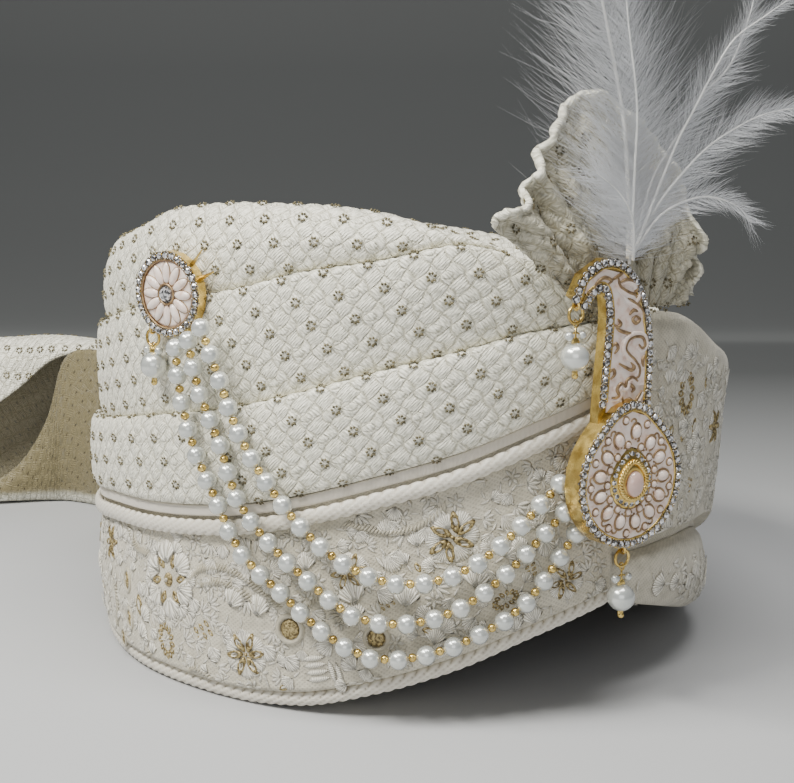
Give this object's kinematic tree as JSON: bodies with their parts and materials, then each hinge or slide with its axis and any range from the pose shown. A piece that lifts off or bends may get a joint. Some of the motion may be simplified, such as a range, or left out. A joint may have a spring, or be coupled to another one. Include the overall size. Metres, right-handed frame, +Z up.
{
  "type": "tied turban",
  "caption": "Wound cream brocade turban with an embroidered border, pearl strings, a jewelled crest, a pleated fan, a plume and a rolled tail, standing on its rim.",
  "frame": {"origin": "on the surface that the turban stands on, below the middle of the whole object's box", "axes": "+Z up; -Y is the turban's front, where the wraps meet and the kalgi is pinned; -X is the wearer's right; the tail lies towards +Y"},
  "size_m": [0.2494, 0.4982, 0.2734],
  "materials": {
    "crown_lining": "plain cream cloth",
    "brocade": "cream brocade with a raised scale pattern and small gold motifs",
    "embroidery": "cream cloth with raised satin-stitch flowers and gold accents",
    "satin": "flat satin tape with a soft sheen",
    "braid": "twisted silk rope braid",
    "pearl": "cream imitation pearl with gold spacer beads",
    "gold_metal": "antique gold plating",
    "pale_enamel": "pale pink enamel with gold scrolls",
    "pink_stone": "cut pink glass stone",
    "feather": "white feather barbs on white quills"
  },
  "bodies": {
    "root": {"crown_cloth": "crown_lining", "lower_wrap": "brocade", "middle_wrap": "brocade", "top_wrap": "brocade", "front_roll": "brocade", "cockade_fan": "brocade", "tail": "brocade", "border_band": "embroidery", "satin_tape": "satin", "rope_braid": "braid", "hem_braid": "braid", "pearl_string_1": "pearl", "pearl_string_2": "pearl", "pearl_string_3": "pearl", "kalgi": "gold_metal", "base_enamel": "pale_enamel", "stem_enamel": "pale_enamel", "kalgi_stone": "pink_stone", "hook_drop": "gold_metal", "base_drop": "gold_metal", "brooch": "gold_metal", "brooch_flower": "pale_enamel", "brooch_drop": "gold_metal", "plume": "feather"}
  },
  "joints": []
}
